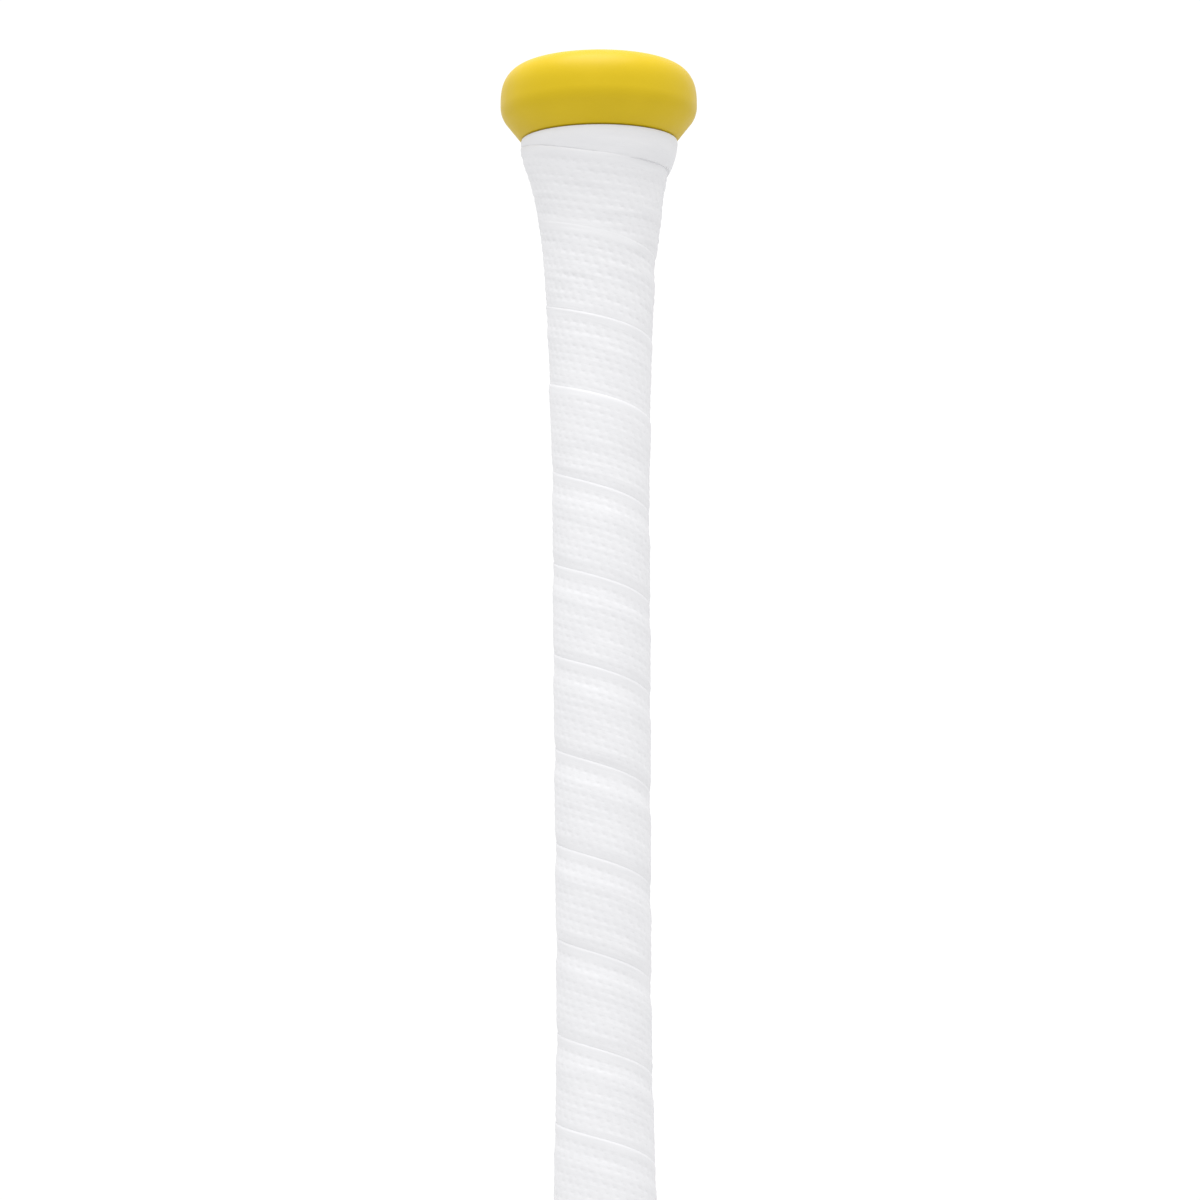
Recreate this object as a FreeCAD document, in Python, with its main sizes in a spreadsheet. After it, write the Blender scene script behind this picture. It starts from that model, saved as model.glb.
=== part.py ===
import FreeCAD, Part
import math
import os
import re

import Sketcher

# A two-piece ball bat that stands on its end cap. +Z runs from the cap's flat face, at the origin, up the
# barrel and the handle to the knob. Every piece is round about Z, so most are bodies made by spinning an
# outline. Sizes are millimetres.

doc = FreeCAD.newDocument("ball_bat")

# ---------------------------------------------------------------------------------------------------------
# Driving dimensions
# ---------------------------------------------------------------------------------------------------------

DIMENSIONS = {
    # overall
    "total_length": 838.2,
    # knob, measured up from its underside
    "knob_height": 20.4,
    "knob_neck_radius": 20.4,
    "knob_cheek_radius": 24.2,
    "knob_cheek_height": 5.2,
    "knob_cheek_arc": 6.4,
    "knob_radius": 25.4,
    "knob_widest_height": 9.0,
    "knob_side_height": 12.1,
    "knob_corner_arc": 7.5,
    "knob_crown_radius": 20.0,
    "knob_crown_height": 19.3,
    "knob_crown_arc": 28.0,
    "knob_end_radius": 12.3,
    "socket_depth": 13.0,
    "badge_radius": 9.5,
    "badge_thickness": 0.8,
    "badge_recess": 1.0,
    "plug_length": 30.0,
    "weight_radius": 5.0,
    "weight_length": 18.0,
    # handle tube, heights from the cap's face
    "handle_radius": 11.1,
    "handle_wall": 3.2,
    "straight_bottom": 690.0,
    "waist_radius": 10.7,
    "waist_height": 598.0,
    "waist_arc": 1400.0,
    "cone_start_radius": 11.2,
    "cone_start_height": 560.6,
    "cone_end_radius": 16.3,
    "foam_length": 28.0,
    # rubber sleeve that flares the handle out to the knob
    "flare_bottom": 735.0,
    "flare_edge": 0.2,
    "flare_lower_arc": 659.0,
    "flare_mid_radius": 13.2,
    "flare_mid_height": 785.0,
    "flare_upper_arc": 141.0,
    "flare_hip_radius": 17.0,
    "flare_hip_height": 808.5,
    "flare_shoulder_arc": 28.4,
    "flare_top_radius": 19.3,
    # grip
    "grip_bottom": 482.0,
    "adhesive": 0.15,
    "tape_thickness": 1.2,
    "band_bottom": 474.0,
    "band_top": 492.0,
    "band_thickness": 0.4,
    # joint between handle and barrel
    "throat_base": 370.0,
    "throat_top": 430.0,
    "throat_wall": 2.2,
    "throat_arc": 418.0,
    "elastomer": 1.4,
    "collar_height": 16.0,
    "collar_lip": 0.6,
    "collar_arc": 30.0,
    # barrel
    "barrel_radius": 28.575,
    "barrel_wall": 3.2,
    "barrel_shoulder": 246.6,
    "taper_mid_radius": 23.325,
    "taper_mid_height": 326.6,
    "sleeve_wall": 3.0,
    "sleeve_bottom": 46.0,
    "sleeve_top": 240.0,
    "ring_width": 4.0,
    "ring_height": 5.0,
    "ring_gap": 9.0,
    # end cap
    "cap_radius": 28.2,
    "cap_rise": 14.0,
    "cap_edge_arc": 3.5,
    "cap_dish_radius": 15.0,
    "cap_dish_depth": 2.5,
    "cap_floor": 4.0,
    "cap_skirt_top": 38.0,
    "cap_skirt_wall": 2.5,
    "cap_bond": 0.5,
    "cap_slots": 8,
    "cap_slot_width": 2.4,
    "cap_slot_inner": 5.0,
    "cap_slot_outer": 13.0,
    "cap_slot_depth": 1.2,
    "puck_height": 8.0,
}

sizes = doc.addObject("Spreadsheet::Sheet", "Sizes")
for row, (alias, number) in enumerate(DIMENSIONS.items(), start=1):
    sizes.set(f"A{row}", alias)
    sizes.set(f"B{row}", str(number))
    sizes.setAlias(f"B{row}", alias)
doc.recompute()


def sized(formula):
    """The formula as a FreeCAD expression: each dimension's name gets the sheet's name before it."""
    return re.sub(r"[a-z][a-z_]*", lambda word: "Sizes." + word.group(), formula)


def value(formula):
    """The formula's present value, for the first placing of a sketch's geometry."""
    return float(sizes.evalExpression(sized(formula)))


# Heights and radii that several pieces share, as formulas of the driving dimensions.
knob_base = "(total_length - knob_height)"
tube_top = f"({knob_base} + socket_depth)"
cone_slope = "((cone_end_radius - cone_start_radius) / (cone_start_height - throat_base))"
shoulder_drop = "(barrel_radius - taper_mid_radius)"
shoulder_run = "(taper_mid_height - barrel_shoulder)"
shoulder_arc = f"(({shoulder_drop} ^ 2 + {shoulder_run} ^ 2) / (2 * {shoulder_drop}))"
barrel_bore = "(barrel_radius - barrel_wall)"
skirt_radius = f"({barrel_bore} - cap_bond)"
skirt_bore = f"({skirt_radius} - cap_skirt_wall)"
cap_floor_top = "(cap_dish_depth + cap_floor)"
collar_top = "(throat_top + collar_height)"
foam_top = "(throat_base + foam_length)"
plug_bottom = f"({tube_top} - plug_length)"
grip_build = "(adhesive + tape_thickness)"


def cone(height, outward="0"):
    """Radius of the handle's cone at a height, or of a surface that lies outward of it."""
    return f"(cone_start_radius + (cone_start_height - {height}) * {cone_slope} + {outward})"


# ---------------------------------------------------------------------------------------------------------
# Making a piece
# ---------------------------------------------------------------------------------------------------------

CONVEX = 1
HOLLOW = -1


def origin_plane(body, role):
    return next(item for item in body.Origin.OriginFeatures if item.Role == role)


def add_edge(sketch, here, there, arc):
    """Add a line, or an arc that swells out of the material or cuts into it. Returns the geometry's number
    and which of its points, 1 or 2, are its beginning and its end."""
    if arc is None:
        return sketch.addGeometry(Part.LineSegment(here, there)), 1, 2
    bulge, formula = arc
    radius = value(formula)
    along = there - here
    rise = math.sqrt(radius ** 2 - (along.Length / 2) ** 2)
    left = FreeCAD.Vector(-along.y, along.x, 0).normalize()
    centre = here + along * 0.5 + left * rise * bulge
    first, last = (here, there) if bulge == CONVEX else (there, here)
    start = math.atan2(first.y - centre.y, first.x - centre.x)
    finish = math.atan2(last.y - centre.y, last.x - centre.x)
    if finish < start:
        finish += 2 * math.pi
    circle = Part.Circle(centre, FreeCAD.Vector(0, 0, 1), radius)
    number = sketch.addGeometry(Part.ArcOfCircle(circle, start, finish))
    return (number, 1, 2) if bulge == CONVEX else (number, 2, 1)


def bind(sketch, constraint, name, formula):
    index = sketch.addConstraint(constraint)
    sketch.renameConstraint(index, name)
    sketch.setExpression(f".Constraints.{name}", sized(formula))


def revolved(label, outline):
    """A body made by spinning a closed outline about Z. The outline's corners are (radius, height), listed
    with the material on the left, and a third item bends the edge to the next corner into an arc."""
    body = doc.addObject("PartDesign::Body", label)
    sketch = body.newObject("Sketcher::SketchObject", f"{label}_outline")
    sketch.AttachmentSupport = (origin_plane(body, "XZ_Plane"), "")
    sketch.MapMode = "FlatFace"
    corners = [FreeCAD.Vector(value(corner[0]), value(corner[1]), 0) for corner in outline]
    edges = []
    for number, corner in enumerate(outline):
        there = corners[(number + 1) % len(corners)]
        arc = corner[2] if len(corner) == 3 else None
        edges.append(add_edge(sketch, corners[number], there, arc))
    for number, corner in enumerate(outline):
        edge, first, _ = edges[number]
        before, _, last = edges[number - 1]
        sketch.addConstraint(Sketcher.Constraint("Coincident", before, last, edge, first))
        for axis, side, formula, place in (
            ("DistanceX", -2, corner[0], corners[number].x),
            ("DistanceY", -1, corner[1], corners[number].y),
        ):
            if formula == "0":
                sketch.addConstraint(Sketcher.Constraint("PointOnObject", edge, first, side))
            else:
                constraint = Sketcher.Constraint(axis, -1, 1, edge, first, place)
                bind(sketch, constraint, f"corner{number}_{axis[-1].lower()}", formula)
        if len(corner) == 3:
            formula = corner[2][1]
            bind(sketch, Sketcher.Constraint("Radius", edge, value(formula)), f"arc{number}", formula)
    spin = body.newObject("PartDesign::Revolution", f"{label}_spin")
    spin.Profile = sketch
    spin.ReferenceAxis = (sketch, ["V_Axis"])
    spin.Angle = 360
    sketch.Visibility = False
    return body


def ring(label, inner, outer, bottom, top):
    return revolved(label, [(inner, bottom), (outer, bottom), (outer, top), (inner, top)])


def disc(label, radius, bottom, height):
    piece = doc.addObject("Part::Cylinder", label)
    piece.setExpression("Radius", sized(radius))
    piece.setExpression("Height", sized(height))
    piece.setExpression("Placement.Base.z", sized(bottom))
    return piece


def cut_pocket(body, name, plane, height, box, depth, upward):
    """Cut a pocket from a rectangle (left, right, front, back) that lies at a height on an origin plane."""
    sketch = body.newObject("Sketcher::SketchObject", f"{name}_outline")
    sketch.AttachmentSupport = (origin_plane(body, plane), "")
    sketch.MapMode = "FlatFace"
    sketch.setExpression("AttachmentOffset.Base.z", sized(height))
    left, right, front, back = box
    corners = [(left, front), (right, front), (right, back), (left, back)]
    points = [FreeCAD.Vector(value(x), value(y), 0) for x, y in corners]
    for number in range(4):
        sketch.addGeometry(Part.LineSegment(points[number], points[(number + 1) % 4]))
    for number, (x, y) in enumerate(corners):
        sketch.addConstraint(Sketcher.Constraint("Coincident", number - 1 if number else 3, 2, number, 1))
        across = Sketcher.Constraint("DistanceX", -1, 1, number, 1, points[number].x)
        bind(sketch, across, f"corner{number}_x", x)
        along = Sketcher.Constraint("DistanceY", -1, 1, number, 1, points[number].y)
        bind(sketch, along, f"corner{number}_y", y)
    pocket = body.newObject("PartDesign::Pocket", name)
    pocket.Profile = sketch
    pocket.Type = "Length"
    pocket.setExpression("Length", sized(depth))
    pocket.Reversed = upward
    sketch.Visibility = False
    body.Tip = pocket
    return pocket


# ---------------------------------------------------------------------------------------------------------
# End cap: the moulded cap, the adhesive that holds its skirt, and the puck cast inside it
# ---------------------------------------------------------------------------------------------------------


def make_end_cap():
    cap = revolved("end_cap", [
        ("0", "cap_dish_depth"),
        ("cap_dish_radius", "cap_dish_depth"),
        ("cap_dish_radius + cap_dish_depth", "0"),
        ("cap_radius - cap_edge_arc", "0", (CONVEX, "cap_edge_arc")),
        ("cap_radius", "cap_edge_arc"),
        ("cap_radius", "cap_rise"),
        (skirt_radius, "cap_rise"),
        (skirt_radius, "cap_skirt_top"),
        (skirt_bore, "cap_skirt_top"),
        (skirt_bore, cap_floor_top),
        ("0", cap_floor_top),
    ])
    slot_box = ("cap_slot_inner", "cap_slot_outer", "-cap_slot_width / 2", "cap_slot_width / 2")
    slot = cut_pocket(cap, "cap_slot", "XY_Plane", "cap_dish_depth", slot_box, "cap_slot_depth", True)
    pattern = cap.newObject("PartDesign::PolarPattern", "cap_slot_ring")
    pattern.Originals = [slot]
    pattern.Axis = (origin_plane(cap, "Z_Axis"), [""])
    pattern.Angle = 360
    pattern.setExpression("Occurrences", sized("cap_slots"))
    cap.Tip = pattern
    return [
        cap,
        ring("end_cap_bond", skirt_radius, barrel_bore, "cap_rise", "cap_skirt_top"),
        disc("end_cap_puck", skirt_bore, cap_floor_top, "puck_height"),
    ]


# ---------------------------------------------------------------------------------------------------------
# Barrel: a shell with its taper and throat, a second wall inside it, and the split ring under that wall
# ---------------------------------------------------------------------------------------------------------


def make_barrel():
    throat_inner = [cone("throat_base", "elastomer"), cone("throat_top", "elastomer")]
    throat_outer = [f"({radius} + throat_wall)" for radius in throat_inner]
    shell = revolved("barrel_shell", [
        (barrel_bore, "cap_rise"),
        ("barrel_radius", "cap_rise"),
        ("barrel_radius", "barrel_shoulder", (CONVEX, shoulder_arc)),
        ("taper_mid_radius", "taper_mid_height", (HOLLOW, "throat_arc")),
        (throat_outer[0], "throat_base"),
        (throat_outer[1], "throat_top"),
        (throat_inner[1], "throat_top"),
        (throat_inner[0], "throat_base", (CONVEX, "throat_arc + throat_wall")),
        ("taper_mid_radius - throat_wall", "taper_mid_height", (HOLLOW, f"({shoulder_arc} - barrel_wall)")),
        (barrel_bore, "barrel_shoulder"),
    ])
    inner_wall = ring(
        "barrel_inner_sleeve", f"({barrel_bore} - sleeve_wall)", barrel_bore, "sleeve_bottom", "sleeve_top"
    )
    ring_bottom = "(sleeve_bottom - ring_height)"
    retainer = ring(
        "sleeve_retaining_ring", f"({barrel_bore} - ring_width)", barrel_bore, ring_bottom, "sleeve_bottom"
    )
    gap_box = ("barrel_radius / 2", "barrel_radius", "-ring_gap / 2", "ring_gap / 2")
    cut_pocket(retainer, "ring_gap_cut", "XY_Plane", ring_bottom, gap_box, "ring_height", True)
    return [shell, inner_wall, retainer]


# ---------------------------------------------------------------------------------------------------------
# Joint: an elastomer sleeve between the handle's cone and the throat, and the collar that covers it
# ---------------------------------------------------------------------------------------------------------


def make_joint():
    sleeve = revolved("joint_sleeve", [
        (cone("throat_base"), "throat_base"),
        (cone("throat_base", "elastomer"), "throat_base"),
        (cone("throat_top", "elastomer"), "throat_top"),
        (cone("throat_top"), "throat_top"),
    ])
    collar = revolved("joint_collar", [
        (cone("throat_top"), "throat_top"),
        (cone("throat_top", "elastomer + throat_wall"), "throat_top", (CONVEX, "collar_arc")),
        (cone(collar_top, "collar_lip"), collar_top),
        (cone(collar_top), collar_top),
    ])
    return [sleeve, collar]


# ---------------------------------------------------------------------------------------------------------
# Handle: the tube, the foam plug in its lower mouth, and the rubber sleeve that flares its upper end
# ---------------------------------------------------------------------------------------------------------


def make_handle():
    tube = revolved("handle_tube", [
        (cone("throat_base", "-handle_wall"), "throat_base"),
        (cone("throat_base"), "throat_base"),
        ("cone_start_radius", "cone_start_height", (HOLLOW, "waist_arc")),
        ("waist_radius", "waist_height"),
        ("handle_radius", "straight_bottom"),
        ("handle_radius", tube_top),
        ("handle_radius - handle_wall", tube_top),
        ("handle_radius - handle_wall", "straight_bottom"),
        ("waist_radius - handle_wall", "waist_height", (CONVEX, "waist_arc + handle_wall")),
        ("cone_start_radius - handle_wall", "cone_start_height"),
    ])
    foam = revolved("handle_foam_plug", [
        ("0", "throat_base"),
        (cone("throat_base", "-handle_wall"), "throat_base"),
        (cone(foam_top, "-handle_wall"), foam_top),
        ("0", foam_top),
    ])
    flare = revolved("flare_sleeve", [
        ("handle_radius", "flare_bottom"),
        ("handle_radius + flare_edge", "flare_bottom", (HOLLOW, "flare_lower_arc")),
        ("flare_mid_radius", "flare_mid_height", (HOLLOW, "flare_upper_arc")),
        ("flare_hip_radius", "flare_hip_height", (CONVEX, "flare_shoulder_arc")),
        ("flare_top_radius", knob_base),
        ("handle_radius", knob_base),
    ])
    return [tube, foam, flare]


# ---------------------------------------------------------------------------------------------------------
# Grip: an adhesive layer and the tape over it, both lying on the handle and its flare, and the end band
# ---------------------------------------------------------------------------------------------------------

# The surface that the grip lies on, from its lower end up to the knob.
WRAP_PATH = [
    (cone("grip_bottom"), "grip_bottom"),
    ("cone_start_radius", "cone_start_height", (HOLLOW, "waist_arc")),
    ("waist_radius", "waist_height"),
    ("handle_radius", "straight_bottom"),
    ("handle_radius", "flare_bottom - flare_edge"),
    ("handle_radius + flare_edge", "flare_bottom", (HOLLOW, "flare_lower_arc")),
    ("flare_mid_radius", "flare_mid_height", (HOLLOW, "flare_upper_arc")),
    ("flare_hip_radius", "flare_hip_height", (CONVEX, "flare_shoulder_arc")),
    ("flare_top_radius", knob_base),
]


def layer(label, inner, outer):
    """A layer of even thickness on the wrap path, between two distances outward of it."""
    rising = []
    falling = []
    bends_below = ()
    for radius, height, *bends in WRAP_PATH:
        outer_bends = [(bulge, f"({arc} + {bulge} * {outer})") for bulge, arc in bends]
        inner_bends = [(-bulge, f"({arc} + {bulge} * {inner})") for bulge, arc in bends_below]
        rising.append((f"({radius} + {outer})", height, *outer_bends))
        falling.insert(0, (f"({radius} + {inner})", height, *inner_bends))
        bends_below = bends
    return revolved(label, rising + falling)


def make_grip():
    adhesive = layer("grip_adhesive", "0", "adhesive")
    tape = layer("grip_tape", "adhesive", grip_build)
    band = revolved("grip_end_band", [
        (cone("band_bottom"), "band_bottom"),
        (cone("band_bottom", "band_thickness"), "band_bottom"),
        (cone("grip_bottom", f"{grip_build} + band_thickness"), "grip_bottom"),
        (cone("band_top", f"{grip_build} + band_thickness"), "band_top"),
        (cone("band_top", grip_build), "band_top"),
        (cone("grip_bottom", grip_build), "grip_bottom"),
        (cone("grip_bottom"), "grip_bottom"),
    ])
    return [adhesive, tape, band]


# ---------------------------------------------------------------------------------------------------------
# Knob: the moulded knob over the tube's end, the plug and balancing slug inside, and the blank badge
# ---------------------------------------------------------------------------------------------------------


def make_knob():
    knob = revolved("knob", [
        ("handle_radius", knob_base),
        ("knob_neck_radius", knob_base),
        ("knob_cheek_radius", f"({knob_base} + knob_cheek_height)", (CONVEX, "knob_cheek_arc")),
        ("knob_radius", f"({knob_base} + knob_widest_height)"),
        ("knob_radius", f"({knob_base} + knob_side_height)", (CONVEX, "knob_corner_arc")),
        ("knob_crown_radius", f"({knob_base} + knob_crown_height)", (CONVEX, "knob_crown_arc")),
        ("knob_end_radius", "total_length"),
        ("badge_radius", "total_length"),
        ("badge_radius", "(total_length - badge_recess)"),
        ("0", "(total_length - badge_recess)"),
        ("0", tube_top),
        ("handle_radius", tube_top),
    ])
    plug = revolved("knob_plug", [
        ("weight_radius", plug_bottom),
        ("(handle_radius - handle_wall)", plug_bottom),
        ("(handle_radius - handle_wall)", tube_top),
        ("0", tube_top),
        ("0", f"({plug_bottom} + weight_length)"),
        ("weight_radius", f"({plug_bottom} + weight_length)"),
    ])
    return [
        knob,
        plug,
        disc("knob_weight", "weight_radius", plug_bottom, "weight_length"),
        disc("knob_badge", "badge_radius", "total_length - badge_recess", "badge_thickness"),
    ]


pieces = make_end_cap() + make_barrel() + make_joint() + make_handle() + make_grip() + make_knob()
doc.recompute()

# ---------------------------------------------------------------------------------------------------------
# Checks, then one file for each piece
# ---------------------------------------------------------------------------------------------------------

for item in doc.Objects:
    if "Invalid" in item.State or "Error" in item.State:
        raise RuntimeError(f"{item.Label} did not compute: {item.State}")
for piece in pieces:
    if piece.Shape.isNull() or not piece.Shape.isValid():
        raise RuntimeError(f"{piece.Label} has no valid shape")
for body in (doc.getObject("end_cap"), doc.getObject("sleeve_retaining_ring")):
    spun = doc.getObject(f"{body.Name}_spin")
    if body.Shape.Volume >= spun.Shape.Volume - 1:
        raise RuntimeError(f"the pockets in {body.Label} cut nothing")

os.makedirs("parts", exist_ok=True)
for piece in pieces:
    piece.Shape.exportStep(f"parts/{piece.Label}.step")
    print(piece.Label, round(piece.Shape.Volume), "mm3")
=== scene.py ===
import math

import bmesh
import bpy
import numpy as np
from mathutils import Matrix, Vector


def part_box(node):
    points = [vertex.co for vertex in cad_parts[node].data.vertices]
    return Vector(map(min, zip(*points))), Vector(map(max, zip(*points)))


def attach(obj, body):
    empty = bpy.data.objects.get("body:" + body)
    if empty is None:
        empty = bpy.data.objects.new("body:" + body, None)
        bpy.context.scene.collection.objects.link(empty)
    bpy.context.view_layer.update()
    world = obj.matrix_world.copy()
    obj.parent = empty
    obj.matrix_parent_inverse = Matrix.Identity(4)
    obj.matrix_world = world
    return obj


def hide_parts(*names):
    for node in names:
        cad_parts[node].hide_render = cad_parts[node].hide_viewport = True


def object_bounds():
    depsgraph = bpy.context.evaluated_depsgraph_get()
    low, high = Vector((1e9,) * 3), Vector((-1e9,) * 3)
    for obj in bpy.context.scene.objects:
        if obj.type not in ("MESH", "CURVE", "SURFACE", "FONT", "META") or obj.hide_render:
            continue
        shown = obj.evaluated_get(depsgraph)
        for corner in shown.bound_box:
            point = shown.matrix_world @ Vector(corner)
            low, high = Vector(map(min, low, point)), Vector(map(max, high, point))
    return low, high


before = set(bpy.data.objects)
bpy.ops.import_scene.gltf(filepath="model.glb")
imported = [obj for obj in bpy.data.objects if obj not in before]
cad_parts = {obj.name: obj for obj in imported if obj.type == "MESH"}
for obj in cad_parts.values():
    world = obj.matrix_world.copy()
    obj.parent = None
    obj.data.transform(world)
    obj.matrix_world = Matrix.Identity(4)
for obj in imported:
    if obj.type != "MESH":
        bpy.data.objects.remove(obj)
cad_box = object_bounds()
MM = 0.001

# --------------------------------------------------------------------------------------------------
# Camera and room: the bat stands on a wide pale floor in an evenly lit white room, with one soft
# lamp above it. The camera is level with the bat's middle and looks up at the handle through a
# long lens, rolled by a fraction of a degree.
# --------------------------------------------------------------------------------------------------
scene = bpy.context.scene
scene.view_settings.view_transform = "Standard"

camera_distance = 1.75
camera_sideways = -0.41 * MM
long_lens = 208
degrees_upward = 9.05
degrees_of_roll = -0.33
bat_middle = (cad_box[0].z + cad_box[1].z) / 2
camera_data = bpy.data.cameras.new("handle_camera")
camera_data.lens = long_lens
camera_data.clip_end = 100
camera = bpy.data.objects.new("handle_camera", camera_data)
scene.collection.objects.link(camera)
camera.location = (camera_sideways, -camera_distance, bat_middle)
looking_up = Matrix.Rotation(math.radians(90 + degrees_upward), 3, "X")
tilted = Matrix.Rotation(math.radians(degrees_of_roll), 3, "Z")
camera.rotation_euler = (looking_up @ tilted).to_euler()
scene.camera = camera

room = bpy.data.worlds.new("white_room")
room.use_nodes = True
room_glow = room.node_tree.nodes["Background"]
room_glow.inputs["Color"].default_value = (1, 1, 1, 1)
room_glow.inputs["Strength"].default_value = 1.06
scene.world = room

lamp_data = bpy.data.lights.new("softbox_above", "AREA")
lamp_data.shape = "DISK"
lamp_data.size = 1.2
lamp_data.energy = 18
lamp = bpy.data.objects.new("softbox_above", lamp_data)
scene.collection.objects.link(lamp)
lamp.location = (-0.06, -0.3, 2.0)
towards_knob = Vector((0, 0, cad_box[1].z)) - lamp.location
lamp.rotation_euler = towards_knob.to_track_quat("-Z", "Y").to_euler()

floor_width = 60
floor_gap = 0.2 * MM
bpy.ops.object.select_all(action="DESELECT")
bpy.ops.mesh.primitive_plane_add(size=floor_width, location=(0, 0, cad_box[0].z - floor_gap))
floor = bpy.context.object
floor.name = "floor"
floor_paint = bpy.data.materials.new("pale_floor")
floor_paint.use_nodes = True
floor_shader = floor_paint.node_tree.nodes["Principled BSDF"]
floor_shader.inputs["Base Color"].default_value = (0.80, 0.80, 0.80, 1)
floor_shader.inputs["Roughness"].default_value = 0.7
floor.data.materials.append(floor_paint)

# --------------------------------------------------------------------------------------------------
# Handle tube: a rolled composite tube, sprayed gloss white. Its lower end is a cone that goes down
# into the barrel's throat, and it narrows to a waist before the straight part that the hands hold.
# --------------------------------------------------------------------------------------------------
tube_low, tube_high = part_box("handle_tube")
tube_radius = 11.1 * MM
tube_wall = 3.2 * MM
cone_bottom = (tube_high.x, tube_low.z)
cone_top = (11.2 * MM, 560.6 * MM)
waist = (10.7 * MM, 598 * MM)
straight_bottom = 690 * MM
waist_bow = 1400 * MM
waist_steps = 6
merging_distance = 0.001 * MM


def bowed(start, end, bow, steps):
    """Rings (radius, height) on an arc from start up to end, with the end left out.

    The bow is the arc's radius, and a negative one makes the arc hollow.
    """
    (r0, z0), (r1, z1) = start, end
    chord = math.hypot(r1 - r0, z1 - z0)
    centre_distance = math.sqrt(bow * bow - chord * chord / 4)
    out = Vector((z1 - z0, r0 - r1)).normalized() * math.copysign(1, (z1 - z0) * bow)
    middle = Vector(((r0 + r1) / 2, (z0 + z1) / 2))
    centre = middle - out * centre_distance
    first, last = Vector((r0, z0)) - centre, Vector((r1, z1)) - centre
    turn = first.angle_signed(last)
    rings = []
    for step in range(steps):
        part = -turn * step / steps
        x = first.x * math.cos(part) - first.y * math.sin(part)
        y = first.x * math.sin(part) + first.y * math.cos(part)
        rings.append((centre.x + x, centre.y + y))
    return rings


def turned(name, rings, sides=128, tube=False):
    """A solid drawn from a circle ring by ring, as on a lathe.

    Its two ends are closed, or for a tube the last ring is joined to the first.
    """
    if tube:
        rings = rings + rings[:1]
    first_radius, first_height = rings[0]
    bpy.ops.object.select_all(action="DESELECT")
    bpy.ops.mesh.primitive_circle_add(
        vertices=sides, radius=first_radius, location=(0, 0, first_height)
    )
    piece = bpy.context.object
    piece.name = name
    bpy.ops.object.transform_apply(location=True, rotation=False, scale=False)
    bpy.ops.object.mode_set(mode="EDIT")
    bpy.ops.mesh.select_all(action="SELECT")
    if not tube:
        bpy.ops.mesh.edge_face_add()
    for (radius, height), (next_radius, next_height) in zip(rings, rings[1:]):
        rise = next_height - height
        bpy.ops.mesh.extrude_region_move(TRANSFORM_OT_translate={"value": (0, 0, rise)})
        growth = next_radius / radius
        bpy.ops.transform.resize(value=(growth, growth, 1), center_override=(0, 0, next_height))
    bpy.ops.mesh.select_all(action="SELECT")
    bpy.ops.mesh.remove_doubles(threshold=merging_distance)
    bpy.ops.mesh.select_all(action="SELECT")
    bpy.ops.mesh.normals_make_consistent(inside=False)
    bpy.ops.object.mode_set(mode="OBJECT")
    return piece


def finished(piece, material, angle=40):
    """Smooth the piece up to an angle, and give it its material."""
    bpy.ops.object.select_all(action="DESELECT")
    piece.select_set(True)
    bpy.context.view_layer.objects.active = piece
    bpy.ops.object.shade_smooth_by_angle(angle=math.radians(angle))
    piece.data.materials.clear()
    piece.data.materials.append(material)


def in_place_of(piece, node):
    """The piece stands for the CAD node, which is hidden, and rides on the bat."""
    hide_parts(node)
    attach(piece, "root")


def paint_named(name, roughness=0.5, metallic=0.0):
    """A new material, its node tree and its shader."""
    material = bpy.data.materials.new(name)
    material.use_nodes = True
    shader = material.node_tree.nodes["Principled BSDF"]
    shader.inputs["Roughness"].default_value = roughness
    shader.inputs["Metallic"].default_value = metallic
    return material, material.node_tree, shader


def textured(tree, kind, stretch=(1, 1, 1), place=None, **settings):
    """A texture node, stretched as told, that reads the given place or the object's own space."""
    place = place or tree.nodes.new("ShaderNodeTexCoord").outputs["Object"]
    mapping = tree.nodes.new("ShaderNodeMapping")
    mapping.inputs["Scale"].default_value = stretch
    texture = tree.nodes.new(kind)
    for setting, number in settings.items():
        texture.inputs[setting].default_value = number
    tree.links.new(place, mapping.inputs["Vector"])
    tree.links.new(mapping.outputs["Vector"], texture.inputs["Vector"])
    return texture


def bumped(tree, shader, height, distance):
    """Raise the surface by a texture's output, by up to the distance."""
    bump = tree.nodes.new("ShaderNodeBump")
    bump.inputs["Strength"].default_value = 1
    bump.inputs["Distance"].default_value = distance
    tree.links.new(height, bump.inputs["Height"])
    tree.links.new(bump.outputs["Normal"], shader.inputs["Normal"])


def shaded_between(tree, factor, socket, low, high):
    """Drive a socket between two colours or greys, by the middle of a texture's range."""
    ramp = tree.nodes.new("ShaderNodeValToRGB")
    ramp.color_ramp.elements[0].color = low
    ramp.color_ramp.elements[1].color = high
    ramp.color_ramp.elements[0].position = 0.3
    ramp.color_ramp.elements[1].position = 0.7
    tree.links.new(factor, ramp.inputs["Fac"])
    tree.links.new(ramp.outputs["Color"], socket)


def grey(level):
    """A neutral colour, with the same level in all three channels."""
    return (level, level, level, 1)


def mottled(tree, shader, low, high, scale):
    """Vary the colour softly between two tones."""
    cloud = textured(tree, "ShaderNodeTexNoise", Scale=scale, Detail=3)
    shaded_between(tree, cloud.outputs["Fac"], shader.inputs["Base Color"], low, high)


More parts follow.
